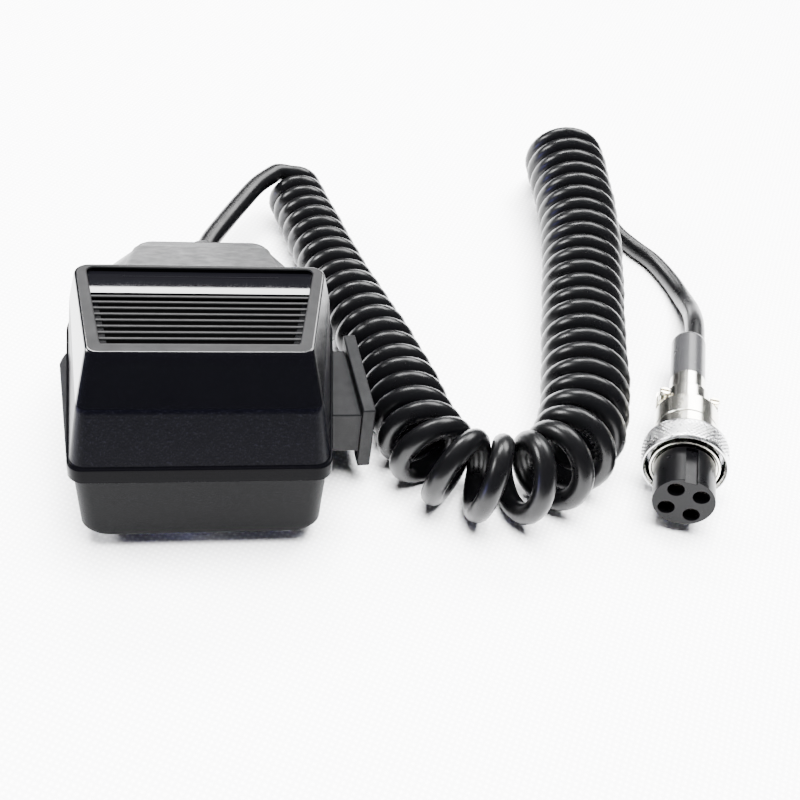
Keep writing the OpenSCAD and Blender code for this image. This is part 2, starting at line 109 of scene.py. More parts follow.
def rounded_corner(before, corner, after, radius, steps):
    """Points of the arc that rounds one corner of an outline."""
    u, w = (before - corner).normalized(), (after - corner).normalized()
    if (u + w).length < 1e-6:
        return [corner + u * radius * (0.5 - i / steps) for i in range(steps + 1)]
    half = u.angle(w) / 2
    middle = corner + (u + w).normalized() * radius / math.sin(half)
    reach = radius / math.tan(half)
    a, b = corner + u * reach - middle, corner + w * reach - middle
    start = math.atan2(a.y, a.x)
    sweep = (math.atan2(b.y, b.x) - start + 3 * math.pi) % (2 * math.pi) - math.pi
    angles = [start + sweep * i / steps for i in range(steps + 1)]
    return [middle + radius * Vector((math.cos(t), math.sin(t))) for t in angles]


def outline(half, steps=8):
    """Closed outline, the same on both sides, from its right half of [x, y, corner radius]."""
    points = half + [[-x, y, r] for x, y, r in reversed(half)]
    corners = [Vector((x, y)) for x, y, _ in points]
    count = len(points)
    ring = []
    for i, (_, _, radius) in enumerate(points):
        ring += rounded_corner(corners[i - 1], corners[i], corners[(i + 1) % count], radius, steps)
    return ring


# Each outline below is drawn w millimetres inside its own edge
def skirt(w=0.0):
    return outline([[24.8 - w, w, 3.2], [28.3 - w, 44, 12], [14 - 0.6 * w, BODY_LENGTH - w, 4]])


def crease(w=0.0):
    return outline([[22.8 - w, 5 + w, 2.2], [26.8 - w, 42, 5], [20 - 0.6 * w, 47 - w, 3]])


def grille_frame(w=0.0):
    return outline([[20.9 - w, 12.6 + w, 2.2], [25.3 - w, 40.2 - w, 2.6], [17, 40.2 - w, 0.8]])


def opening(w=0.0):
    return outline([[18.5 - w, 15.1 + w, 1.2], [22.7 - w, 39.3 - w, 1.2], [15, 39.3 - w, 0.8]])


def back(w=0.0):
    return outline([[22.2 - w, 1.6 + w, 4.5], [25 - w, 44, 12], [12 - 0.6 * w, 76 - w, 4]])


def at_height(ring, z):
    """Outline lifted to height z, which may be a function of y."""
    return [Vector((p.x, p.y, z(p.y) if callable(z) else z)) for p in ring]


def skirt_height(top):
    """Height of the skirt's edge, which gets lower towards the cord end."""
    return lambda y: top - 1.8 * max(0, (y - 45) / (BODY_LENGTH - 45))


def back_height(lift=0.0):
    """Height of the sloping back at y, plus lift."""
    return lambda y: 4.2 * (1 - y / BODY_LENGTH) + lift


# ---- Meshes --------------------------------------------------------------------

def soften(rings, radii, steps=3):
    """Rings with each crease rounded over its radius; returns them with the band of each."""
    out, bands = [], []
    for i, ring in enumerate(rings):
        radius = radii[i]
        if not radius or i in (0, len(rings) - 1):
            out.append(ring)
            bands.append(i)
            continue
        for k in range(steps + 1):
            t = k / steps
            row = []
            for before, p, after in zip(rings[i - 1], ring, rings[i + 1]):
                a, b = before - p, after - p
                a = p + a.normalized() * min(radius, a.length * 0.45)
                b = p + b.normalized() * min(radius, b.length * 0.45)
                row.append((1 - t) ** 2 * a + 2 * t * (1 - t) * p + t * t * b)
            out.append(row)
            bands.append(i if k == steps else i - 1)
    return out, bands


def loft(bm, rings, bands, cap_start=False, cap_end=False, closed=False):
    """Adds a skin through rings of equal length; the face material is its band."""
    rows = [[bm.verts.new(p) for p in ring] for ring in rings]
    pairs = list(zip(rows, rows[1:], bands))
    if closed:
        pairs.append((rows[-1], rows[0], bands[-1]))
    for low, high, band in pairs:
        for j in range(len(low)):
            k = (j + 1) % len(low)
            bm.faces.new((low[j], low[k], high[k], high[j])).material_index = band
    for wanted, row, band in ((cap_start, rows[0], bands[0]), (cap_end, rows[-1], bands[-1])):
        if wanted:
            bm.faces.new(row).material_index = band


def link_mesh(name, bm, materials, sharp):
    """New object in the scene from a finished bmesh, with creases above sharp degrees."""
    mesh = bpy.data.meshes.new(name)
    bm.to_mesh(mesh)
    bm.free()
    mesh.set_sharp_from_angle(angle=math.radians(sharp))
    for material in materials:
        mesh.materials.append(material)
    obj = bpy.data.objects.new(name, mesh)
    bpy.context.scene.collection.objects.link(obj)
    return obj


def make_object(name, bm, place, materials, pick=lambda band: 0, sharp=35.0):
    """Turns a bmesh in millimetres into a named object with smooth faces and hard creases."""
    for face in bm.faces:
        face.material_index = pick(face.material_index)
        face.smooth = True
    bmesh.ops.remove_doubles(bm, verts=bm.verts, dist=0.002)
    bmesh.ops.transform(bm, matrix=place, verts=bm.verts)
    bmesh.ops.recalc_face_normals(bm, faces=bm.faces)
    return link_mesh(name, bm, materials, sharp)


def weigh_normals(obj):
    modifier = obj.modifiers.new("normals", "WEIGHTED_NORMAL")
    modifier.keep_sharp = True


def add_bevel(obj, width, segments=3, angle=32.0):
    modifier = obj.modifiers.new("edges", "BEVEL")
    modifier.width = width * MM
    modifier.segments = segments
    modifier.limit_method = "ANGLE"
    modifier.angle_limit = math.radians(angle)
    modifier.harden_normals = False
    weigh_normals(obj)


def refined(node, name, width, materials, segments=3):
    """Copy of a CAD node, cleaned and with rounded edges."""
    bm = bmesh.new()
    bm.from_mesh(frame["nodes"][node].data)
    bmesh.ops.remove_doubles(bm, verts=bm.verts, dist=0.000004)
    bmesh.ops.dissolve_limit(bm, angle_limit=math.radians(1.5), verts=bm.verts, edges=bm.edges,
                             delimit={"NORMAL"})
    for face in bm.faces:
        face.material_index = 0
        face.smooth = True
    obj = link_mesh(name, bm, materials, 40)
    add_bevel(obj, width, segments)
    return obj


def lathe(bm, profile, sides=96):
    """Adds a turned skin about Y from a closed profile of [radius, y]."""
    rows = []
    for radius, y in profile:
        if radius < 1e-6:
            rows.append([bm.verts.new((0, y, 0))] * sides)
            continue
        angles = [2 * math.pi * i / sides for i in range(sides)]
        rows.append([bm.verts.new((radius * math.cos(a), y, radius * math.sin(a))) for a in angles])
    count = len(profile)
    for i in range(count):
        low, high = rows[i], rows[(i + 1) % count]
        for j in range(sides):
            k = (j + 1) % sides
            corners = list(dict.fromkeys((low[j], low[k], high[k], high[j])))
            if len(corners) > 2:
                bm.faces.new(corners).material_index = 0


def eased(profile, radius, steps=3):
    """Closed profile with each corner rounded."""
    points = [Vector(p) for p in profile]
    out = []
    for i, p in enumerate(points):
        a, b = points[i - 1] - p, points[(i + 1) % len(points)] - p
        a = p + a.normalized() * min(radius, a.length * 0.4)
        b = p + b.normalized() * min(radius, b.length * 0.4)
        for k in range(steps + 1):
            t = k / steps
            out.append((1 - t) ** 2 * a + 2 * t * (1 - t) * p + t * t * b)
    return [(p.x, p.y) for p in out]


def box_mesh(bm, low, high):
    """Adds a box between two corners."""
    made = bmesh.ops.create_cube(bm, size=1)["verts"]
    size = Vector(high) - Vector(low)
    middle = (Vector(high) + Vector(low)) / 2
    for v in made:
        v.co = Vector((v.co.x * size.x, v.co.y * size.y, v.co.z * size.z)) + middle


def cylinder_mesh(bm, start, end, radius, sides=48):
    """Adds a solid cylinder between two points."""
    start, end = Vector(start), Vector(end)
    axis = end - start
    turn = axis.to_track_quat("Z", "Y").to_matrix().to_4x4()
    matrix = Matrix.Translation((start + end) / 2) @ turn
    bmesh.ops.create_cone(bm, cap_ends=True, segments=sides, radius1=radius, radius2=radius,
                          depth=axis.length, matrix=matrix)


def cut(obj, bm, place):
    """Cuts the solids in bm out of obj."""
    cutter = make_object(obj.name + "_cutter", bm, place, [])
    modifier = obj.modifiers.new("cut", "BOOLEAN")
    modifier.operation = "DIFFERENCE"
    modifier.solver = "EXACT"
    modifier.object = cutter
    evaluated = obj.evaluated_get(bpy.context.evaluated_depsgraph_get())
    mesh = bpy.data.meshes.new_from_object(evaluated)
    obj.modifiers.remove(modifier)
    old = obj.data
    obj.data = mesh
    mesh.name = old.name
    bpy.data.meshes.remove(old)
    cutter_mesh = cutter.data
    bpy.data.objects.remove(cutter)
    bpy.data.meshes.remove(cutter_mesh)
    for polygon in mesh.polygons:
        if polygon.material_index >= len(mesh.materials):
            polygon.material_index = 0
    mesh.set_sharp_from_angle(angle=math.radians(35))


def settle(obj, body, slot, *nodes):
    """Lets obj move with its body in place of its CAD nodes."""
    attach(obj, body)
    if nodes:
        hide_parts(*nodes)


# ---- Materials -----------------------------------------------------------------

def shader(name):
    """New material with its node tree, main shader and object coordinates."""
    material = bpy.data.materials.get(name)
    if material:
        bpy.data.materials.remove(material)
    material = bpy.data.materials.new(name)
    material.use_nodes = True
    tree = material.node_tree
    main = tree.nodes["Principled BSDF"]
    place = tree.nodes.new("ShaderNodeTexCoord")
    return material, tree, main, place.outputs["Object"]


def noise(tree, place, size, detail=3.0, rough=0.5):
    """Noise with features of the given size in millimetres."""
    node = tree.nodes.new("ShaderNodeTexNoise")
    node.inputs["Scale"].default_value = 1 / (size * MM)
    node.inputs["Detail"].default_value = detail
    node.inputs["Roughness"].default_value = rough
    tree.links.new(place, node.inputs["Vector"])
    return node.outputs["Fac"]


def ramp(tree, value, low, high, start=0.0, end=1.0):
    """Maps value from low..high to start..end."""
    node = tree.nodes.new("ShaderNodeMapRange")
    for key, number in zip(("From Min", "From Max", "To Min", "To Max"), (low, high, start, end)):
        node.inputs[key].default_value = number
    tree.links.new(value, node.inputs["Value"])
    return node.outputs["Result"]


def mix_colour(tree, value, first, second):
    """Colour between first and second by value."""
    node = tree.nodes.new("ShaderNodeMix")
    node.data_type = "RGBA"
    sockets = [s for s in node.inputs if s.type == "RGBA"]
    sockets[0].default_value = (*first, 1)
    sockets[1].default_value = (*second, 1)
    tree.links.new(value, node.inputs[0])
    return next(s for s in node.outputs if s.type == "RGBA")


def bump(tree, main, layers):
    """Chains bump layers of (height, depth in millimetres, strength) into the normal."""
    normal = None
    for height, depth, strength in layers:
        node = tree.nodes.new("ShaderNodeBump")
        node.inputs["Distance"].default_value = depth * MM
        node.inputs["Strength"].default_value = strength
        tree.links.new(height, node.inputs["Height"])
        if normal:
            tree.links.new(normal, node.inputs["Normal"])
        normal = node.outputs["Normal"]
    tree.links.new(normal, main.inputs["Normal"])


def plastic(name, colour, rough, grain=0.0, grain_size=0.25, tone=0.06, specular=0.5):
    """Moulded plastic or rubber: slight tone changes, varied gloss and a fine grain."""
    material, tree, main, place = shader(name)
    cloud = noise(tree, place, 9.0, 4.0)
    dark = tuple(c * (1 - tone) for c in colour)
    light = tuple(min(c * (1 + tone), 1) for c in colour)
    tree.links.new(mix_colour(tree, cloud, dark, light), main.inputs["Base Color"])
    smudge = noise(tree, place, 3.0, 5.0, 0.6)
    tree.links.new(ramp(tree, smudge, 0.3, 0.7, rough * 0.85, min(rough * 1.15, 1)),
                   main.inputs["Roughness"])
    layers = [(cloud, 0.03, 0.1)]
    if grain:
        layers.append((noise(tree, place, grain_size, 2.0), 0.06, grain))
    bump(tree, main, layers)
    main.inputs["Specular IOR Level"].default_value = specular
    return material


def metal(name, colour, rough, brushed=0.0):
    """Plated or bare metal with faint wear."""
    material, tree, main, place = shader(name)
    wear = noise(tree, place, 2.5, 6.0, 0.65)
    dark = tuple(c * 0.95 for c in colour)
    tree.links.new(mix_colour(tree, ramp(tree, wear, 0.35, 0.65), dark, colour),
                   main.inputs["Base Color"])
    tree.links.new(ramp(tree, wear, 0.3, 0.7, rough * 0.85, rough * 1.2), main.inputs["Roughness"])
    main.inputs["Metallic"].default_value = 1.0
    layers = [(noise(tree, place, 5.0, 2.0), 0.02, 0.08)]
    if brushed:
        layers.append((noise(tree, place, 0.12, 2.0), 0.01, brushed))
    bump(tree, main, layers)
    return material


def speckled(name, colour, fleck, rough, size, strength, specular):
    """Grained plastic with light flecks on its grain."""
    material, tree, main, place = shader(name)
    grain = noise(tree, place, size, 2.0, 0.6)
    fleck_part = ramp(tree, grain, 0.56, 0.72)
    tree.links.new(mix_colour(tree, fleck_part, colour, fleck), main.inputs["Base Color"])
    main.inputs["Roughness"].default_value = rough
    main.inputs["Specular IOR Level"].default_value = specular
    bump(tree, main, [(grain, 0.08, strength)])
    return material


# ---- Settings ------------------------------------------------------------------

class MicSettings(PropertyGroup):
    """Sizes and looks that can be changed before building."""
    camera_lens: FloatProperty(
        name="Lens", description="Focal length of the camera", default=53.65, min=20, max=200,
        unit="CAMERA")
    cord_diameter: FloatProperty(
        name="Cord diameter", description="Diameter of the cord", default=0.0048, min=0.003,
        max=0.006, unit="LENGTH")
    turn_points: IntProperty(
        name="Points per turn", description="Points on each turn of the coil", default=30,
        min=12, max=64)
    bar_count: IntProperty(
        name="Grille bars", description="Number of bars across the grille", default=9, min=5,
        max=13)
    knurl_count: IntProperty(
        name="Knurls", description="Diamonds round the coupling ring", default=58, min=24, max=72)
    light_power: FloatProperty(
        name="Light", description="Strength of the studio lights", default=1.0, min=0.1, max=4,
        subtype="FACTOR")


def settings():
    return bpy.context.scene.mic_settings


# ---- Camera --------------------------------------------------------------------

class MIC_OT_camera(Operator):
    """Puts the camera above the top end of the handset, looking down along it"""
    bl_idname = "mic.camera"
    bl_label = "Camera"

    def execute(self, context):
        data = bpy.data.cameras.new("camera")
        data.lens = settings().camera_lens
        data.sensor_width = 36
        camera = bpy.data.objects.new("camera", data)
        place = handset_place() @ Vector(CAMERA_PLACE)
        angles = (math.radians(a) for a in CAMERA_ANGLES)
        camera.matrix_world = Matrix.Translation(place) @ Euler(angles, "XYZ").to_matrix().to_4x4()
        context.scene.collection.objects.link(camera)
        context.scene.camera = camera
        return {"FINISHED"}


# ---- Cord ----------------------------------------------------------------------

LEAD_ROUTE = [(0, 0.070, 0.013), (0, 0.078, 0.013), (0.0003, 0.084, 0.013),
              (0.0018, 0.090, 0.0132), (0.0055, 0.098, 0.0135), (0.010, 0.107, 0.0138),
              (0.0145, 0.115, 0.0142), (0.0190, 0.1206, 0.0142)]
COIL_ROUTE = [(0.0242, 0.125, 0.0078), (0.027, 0.112, 0.0079), (0.030, 0.098, 0.0081),
              (0.033, 0.084, 0.0083), (0.0366, 0.070, 0.0085), (0.0406, 0.056, 0.0088),
              (0.0436, 0.044, 0.009), (0.0452, 0.034, 0.0093), (0.0464, 0.025, 0.0096),
              (0.0495, 0.0166, 0.0099), (0.056, 0.0112, 0.010), (0.064, 0.0095, 0.0101),
              (0.072, 0.0115, 0.0102), (0.079, 0.0175, 0.0103), (0.084, 0.027, 0.0104),
              (0.0874, 0.039, 0.0105), (0.091, 0.056, 0.0108), (0.0946, 0.072, 0.0114),
              (0.098, 0.088, 0.0124), (0.1004, 0.104, 0.0136), (0.1016, 0.119, 0.0147),
              (0.1024, 0.134, 0.0156)]
COIL_RADIUS = [7.7, 7.8, 8, 8.2, 8.4, 8.6, 8.7, 9, 9.4, 9.7, 9.8, 9.8, 9.9, 10, 10.2, 10.3, 10.4,
               10.4, 10.5, 10.7, 10.9, 11.1]
# Distance between turns along the coil at each point of its route
COIL_PITCH = [4.95, 4.95, 4.95, 4.95, 4.95, 4.95, 5.0, 5.2, 5.6, 6.6, 7.8, 8.2, 7.6, 6.6, 5.8, 5.4,
              5.25, 5.2, 5.2, 5.2, 5.2, 5.2]
TAIL_ROUTE = [(0.0984, 0.141, 0.006), (0.1016, 0.145, 0.0034), (0.1064, 0.1468, 0.0024),
              (0.1112, 0.1444, 0.0024), (0.114, 0.138, 0.0024), (0.115, 0.130, 0.0024),
              (0.1154, 0.121, 0.0024), (0.1166, 0.113, 0.0024), (0.1198, 0.106, 0.0024),
              (0.1234, 0.0995, 0.0024), (0.1256, 0.091, 0.0026), (0.1262, 0.082, 0.0034),
              (0.1252, 0.073, 0.0058), (0.1228, 0.0645, 0.0084), (0.1197, 0.0555, 0.0096)]
# Angle past the top at which the coil's last turn ends
END_ANGLE = math.radians(118)


def smooth_point(points, t):
    """Point at t on a smooth curve through rows of numbers."""
    i = min(int(t), len(points) - 2)
    f = t - i
    a, b, c, d = (points[min(max(k, 0), len(points) - 1)] for k in (i - 1, i, i + 1, i + 2))
    return 0.5 * (2 * b + (c - a) * f + (2 * a - 5 * b + 4 * c - d) * f ** 2
                  + (3 * b - a - 3 * c + d) * f ** 3)


def smooth_line(route, steps):
    points = np.array(route, float)
    count = (len(points) - 1) * steps
    return np.array([smooth_point(points, k / steps) for k in range(count + 1)])


def bridge(start, start_way, end, end_way, pull, steps=16):
    """Points of a smooth bend from one point and direction to another, both ends left out."""
    out = []
    for k in range(1, steps):
        t = k / steps
        out.append((2 * t ** 3 - 3 * t ** 2 + 1) * start
                   + (t ** 3 - 2 * t ** 2 + t) * pull * start_way
                   + (3 * t ** 2 - 2 * t ** 3) * end + (t ** 3 - t ** 2) * pull * end_way)
    return np.array(out)


def coil_line(wire, turn_points):
    """Centreline of the coil: a left-handed helix round its route, in metres."""
    rows = np.column_stack([COIL_ROUTE, COIL_RADIUS, COIL_PITCH])
    fine = smooth_line(rows, 60)
    axis, radius, pitch = fine[:, :3], fine[:, 3] * MM - wire / 2, fine[:, 4] * MM
    steps = np.linalg.norm(np.diff(axis, axis=0), axis=1)
    length = np.concatenate([[0], np.cumsum(steps)])
    phase = np.concatenate([[0], np.cumsum(2 * math.pi * steps / pitch[1:])])
    inside = 1.08 * wire / 2
    first = np.interp(inside, length, phase)
    last = np.interp(length[-1] - inside, length, phase)
    # The coil's turns are stretched a little to end low on its left side
    spare = (last - first - END_ANGLE) % (2 * math.pi)
    count = round((last - first - spare) / (2 * math.pi) * turn_points)
    turns = (last - first - spare) / (last - first)
    phases = np.linspace(first, last, count + 1)
    way = np.gradient(axis, axis=0)
    way /= np.linalg.norm(way, axis=1)[:, None]
    left = np.cross([0, 0, 1.0], way)
    left /= np.linalg.norm(left, axis=1)[:, None]
    up = np.cross(way, left)
    line = []
    for p in phases:
        middle, side, rise = (np.array([np.interp(p, phase, rows[:, k]) for k in range(3)])
                              for rows in (axis, left, up))
        turn = (p - first) * turns
        # Turns settle a little unevenly
        waver = 0.012 * math.sin(0.31 * turn) + 0.008 * math.sin(0.113 * turn)
        r = np.interp(p, phase, radius) * (1 + waver)
        line.append(middle + r * (math.cos(turn) * rise + math.sin(turn) * side))
    return np.array(line)


def direction(a, b):
    return (b - a) / np.linalg.norm(b - a)


def cord_line(wire, turn_points):
    """Whole centreline of the cord, from the handset to the plug, in the frame."""
    lead = smooth_line(LEAD_ROUTE, 8)
    coil = coil_line(wire, turn_points)
    tail = smooth_line(TAIL_ROUTE, 10)
    join_in = bridge(lead[-1], direction(lead[-2], lead[-1]), coil[0], direction(coil[0], coil[1]),
                     0.008)
    join_out = bridge(coil[-1], direction(coil[-2], coil[-1]), tail[0], direction(tail[0], tail[1]),
                      0.012)
    shift = np.array(handset_place().translation)
    return np.vstack([lead, join_in, coil, join_out, tail]) + shift


class MIC_OT_cord(Operator):
    """Builds the cord in one piece: the lead, the coil and the tail into the plug"""
    bl_idname = "mic.cord"
    bl_label = "Curly cord"

    def execute(self, context):
        wire = settings().cord_diameter
        line = cord_line(wire, settings().turn_points)
        curve = bpy.data.curves.new("curly_cord", "CURVE")
        curve.dimensions = "3D"
        curve.bevel_depth = wire / 2
        curve.bevel_resolution = 5
        curve.use_fill_caps = True
        spline = curve.splines.new("POLY")
        spline.points.add(len(line) - 1)
        spline.points.foreach_set("co", np.column_stack([line, np.ones(len(line))]).ravel())
        spline.use_smooth = True
        cord = bpy.data.objects.new("curly_cord", curve)
        context.scene.collection.objects.link(cord)
        rubber = plastic("cord_rubber", (0.0012, 0.0012, 0.0014), 0.3, specular=0.26)
        curve.materials.append(rubber)
        settle(cord, "handset", "cord_black", "cord_lead", "cord_coil", "cord_tail")
        going_with = [frame["nodes"][n] for n in ("plug_contacts", "plug_set_screw", "ring_washer")]
        names = ("gland", "plug_insert_skin", "plug_sleeve_skin", "plug_clamp_lid", "plug_screws",
                 "plug_boot_skin", "ring_skin")
        going_with += [bpy.data.objects[n] for n in names]
        return {"FINISHED"}


def cord_bore():
    """Radius in millimetres of a hole that the cord passes through."""
    return settings().cord_diameter / MM / 2 + 0.03


# ---- Handset -------------------------------------------------------------------

# Bands of the front shell's tongue and side rib, apart from those of its rings
TONGUE_BAND = 20
RIB_BAND = 21


def front_materials():
    """Front shell's materials: glossy, facet, grey frame, tongue and dark skirt."""
    glossy = plastic("shell_gloss", (0.0006, 0.0006, 0.001), 0.16, 0.0, tone=0.1)
    facet = speckled("shell_facet", (0.0005, 0.0005, 0.0011), (0.0038, 0.0038, 0.006), 0.36,
                     size=0.35, strength=0.6, specular=0.07)
    grey = plastic("grille_frame_grey", (0.0085, 0.0085, 0.0088), 0.5, 0.25, 0.3, specular=0.12)
    dark = plastic("shell_skirt", (0.0008, 0.0008, 0.0011), 0.22, specular=0.02)
    tongue = plastic("handle_grey", (0.004, 0.004, 0.0043), 0.5, 0.3, 0.3, specular=0.12)
    return [glossy, facet, grey, tongue, dark]


class MIC_OT_front_shell(Operator):
    """Builds the front shell: skirt, facets, grille frame, tongue and side rib"""
    bl_idname = "mic.front_shell"
    bl_label = "Front shell"

    def execute(self, context):
        bm = bmesh.new()
        outside = [
            (skirt(0.25), 20.3), (skirt(0), 20.6), (skirt(0), skirt_height(23.9)),
            (skirt(0.5), skirt_height(24.0)),
            (crease(0), 34), (grille_frame(0), 42), (opening(0), 42), (opening(0), 39.1),
            (opening(1.3), 39.1), (opening(1.3), 37.4), (grille_frame(2.2), 37.2),
            (crease(2.2), 32.6), (skirt(2.7), skirt_height(23)), (skirt(2.2), 20.3)]
        rings = [at_height(ring, z) for ring, z in outside]
        radii = [0, 0, 0.35, 0.3, 0.55, 0.5, 0.35, 0.2, 0, 0, 0, 0, 0, 0]
        rings, bands = soften(rings, radii)
        loft(bm, rings, bands, closed=True)
        self.add_tongue(bm)
        self.add_rib(bm)
        glossy, facet, grey, tongue, dark = range(5)
        looks = {0: dark, 1: dark, 2: dark, 3: facet, 5: grey, 6: dark, 7: dark, 8: dark,
                 TONGUE_BAND: tongue, RIB_BAND: facet}
        shell = make_object("front_shell_skin", bm, handset_place(), front_materials(),
                            lambda band: looks.get(band, glossy))
        # Faces turned to the lever's side get the dull skirt material: painted shade standing in for the
        # dark reflection of the lever and coil on this side
        for face in shell.data.polygons:
            if face.material_index == glossy and face.normal.x > 0.6:
                face.material_index = dark
        weigh_normals(shell)
        settle(shell, "handset", "gloss_black", "front_shell")
        return {"FINISHED"}

    @staticmethod
    def add_tongue(bm):
        """Tongue that runs from the grille frame down to the cord end."""
        rows = []
        for y, half, top in ((37.5, 17.1, 41.1), (69.6, 15.3, 26.1), (70.8, 14.9, 25.2),
                             (71, 14.4, 23.8)):
            ring = [Vector((half, top)), Vector((-half, top)), Vector((-half - 1, 20.4)),
                    Vector((half + 1, 20.4))]
            points = []
            for i, radius in enumerate((1.8, 1.8, 0.3, 0.3)):
                points += rounded_corner(ring[i - 1], ring[i], ring[(i + 1) % 4], radius, 6)
            rows.append([Vector((p.x, y, p.y)) for p in points])
        rows, _ = soften(rows, [0, 1.2, 0.6, 0])
        loft(bm, rows, [TONGUE_BAND] * len(rows), cap_start=True, cap_end=True)

    @staticmethod
    def add_rib(bm):
        """Rib along the left side of the skirt."""
        shape = [(-23.8, 1.8), (-24.9, 2.2), (-28.55, 30.6), (-28.3, 32), (-27.6, 34), (-24, 34)]
        low, high = ([Vector((x, y, z)) for x, y in shape] for z in (20.35, 23.8))
        loft(bm, [low, high], [RIB_BAND] * 2, cap_start=True, cap_end=True)


class MIC_OT_rear_shell(Operator):
    """Builds the rear shell with its lever slot and screw holes"""
    bl_idname = "mic.rear_shell"
    bl_label = "Rear shell"

    def execute(self, context):
        bm = bmesh.new()
        outside = [
            at_height(back(3), back_height()), at_height(back(0), back_height()),
            at_height(skirt(1.5), back_height(1.6)), at_height(skirt(0.9), 19.9),
            at_height(skirt(1.15), 20.3), at_height(skirt(3.1), 20.3),
            at_height(skirt(4.0), back_height(5.2)), at_height(back(2.2), back_height(2.2))]
        rings, bands = soften(outside, [0, 0.8, 0.8, 0.2, 0, 0, 0, 0], 4)
        loft(bm, rings, bands, cap_start=True, cap_end=True)
        grained = speckled("shell_grain", (0.0014, 0.0015, 0.0017), (0.0045, 0.0047, 0.0052), 0.5,
                           size=0.3, strength=0.7, specular=0.04)
        shell = make_object("rear_shell_skin", bm, handset_place(), [grained])
        tools = bmesh.new()
        box_mesh(tools, (20, 17.2, 8.2), (32, 41.4, 20))
        for x, y in ((18.5, 8.5), (-18.5, 8.5), (10.5, 60), (-10.5, 60)):
            cylinder_mesh(tools, (x, y, -1), (x, y, back_height(3)(y)), 2.75)
        cylinder_mesh(tools, (0, 70, 13), (0, 80, 13), 4.4)
        cylinder_mesh(tools, (0, 11.5, -1), (0, 11.5, 6), 4.1)
        cut(shell, tools, handset_place())
        weigh_normals(shell)
        settle(shell, "handset", "shell_black", "rear_shell")
        return {"FINISHED"}


class MIC_OT_grille(Operator):
    """Builds the grille's bars and the plain strip above them"""
    bl_idname = "mic.grille"
    bl_label = "Grille and strip"

    @staticmethod
    def half_width(y):
        """Half width of the opening at y."""
        return 18.46 + 4.2 * (y - 15.1) / 24.2

    def execute(self, context):
        bm = bmesh.new()
        count = settings().bar_count
        pitch = 15.8 / (count - 0.5)
        profile = eased([(0.05, 40.66), (0.66, 40.66), (0.62, 41.0), (0.09, 41.0)], 0.1, 2)
        for i in range(count):
            y = 15.9 + i * pitch
            ends = [[Vector((side * self.half_width(y + dy), y + dy, z)) for dy, z in profile]
                    for side in (1, -1)]
            loft(bm, ends, [0, 0], cap_start=True, cap_end=True)
        box_mesh(bm, (-17.9, 15.35, 39.12), (17.9, 15.75, 40.6))
        grey = plastic("bar_grey", (0.011, 0.011, 0.0113), 0.45, 0.15, 0.3, specular=0.12)
        bars = make_object("grille_bars", bm, handset_place(), [grey])
        weigh_normals(bars)
        settle(bars, "handset", "grille_gray", "grille")

        bm = bmesh.new()
        rows = []
        steps = 16
        for k in range(steps + 1):
            y = 32.15 + 6.95 * k / steps
            rows.append((y, 41.1 - 0.011 * (y - 35.6) ** 2))
        profile = [(32.1, 40.0), (32.1, 40.8)] + rows + [(39.15, 40.8), (39.15, 40.0)]
        ends = [[Vector((side * (self.half_width(y) - 0.06), y, z)) for y, z in profile]
                for side in (1, -1)]
        loft(bm, ends, [0, 0], cap_start=True, cap_end=True)
        strip = make_object("plain_strip", bm, handset_place(),
                            [plastic("strip_gloss", (0.0015, 0.0015, 0.002), 0.06, 0.0)])
        weigh_normals(strip)
        settle(strip, "handset", "gloss_black", "label_strip")
        return {"FINISHED"}


class MIC_OT_lever(Operator):
    """Builds the push-to-talk lever"""
    bl_idname = "mic.lever"
    bl_label = "Lever"

    def execute(self, context):
        grey = plastic("lever_grey", (0.0028, 0.0029, 0.0032), 0.5, 0.5, 0.3, specular=0.12)
        lever = refined("ptt_lever", "lever_skin", 0.35, [grey])
        settle(lever, "lever", "lever_gray", "ptt_lever")
        return {"FINISHED"}


class MIC_OT_back_fittings(Operator):
    """Builds the hang-up button and the cord's gland"""
    bl_idname = "mic.back_fittings"
    bl_label = "Button and gland"

    def execute(self, context):
        button = refined("hanger_button", "button_skin", 0.4,
                         [metal("button_metal", (0.8, 0.8, 0.81), 0.2)])
        settle(button, "handset", "steel", "hanger_button")
        bm = bmesh.new()
        bore = cord_bore()
        profile = [(bore, -5.6), (5.4, -5.6), (5.4, -3.6), (4.3, -3.6), (4.3, 0.2), (5.2, 0.2),
                   (5.2, 1.8), (4.5, 2.5), (4.1, 4), (4.4, 4.5), (3.8, 6.2), (4, 6.8), (3.4, 9),
                   (bore, 9)]
        lathe(bm, eased(profile, 0.3))
        gland = make_object("gland", bm, handset_place() @ Matrix.Translation((0, BODY_LENGTH, CORD_HEIGHT)),
                            [plastic("gland_rubber", (0.004, 0.004, 0.0045), 0.5, 0.3)])
        weigh_normals(gland)
        settle(gland, "handset", "soft_rubber", "cord_gland")
        return {"FINISHED"}


# ---- Plug ----------------------------------------------------------------------

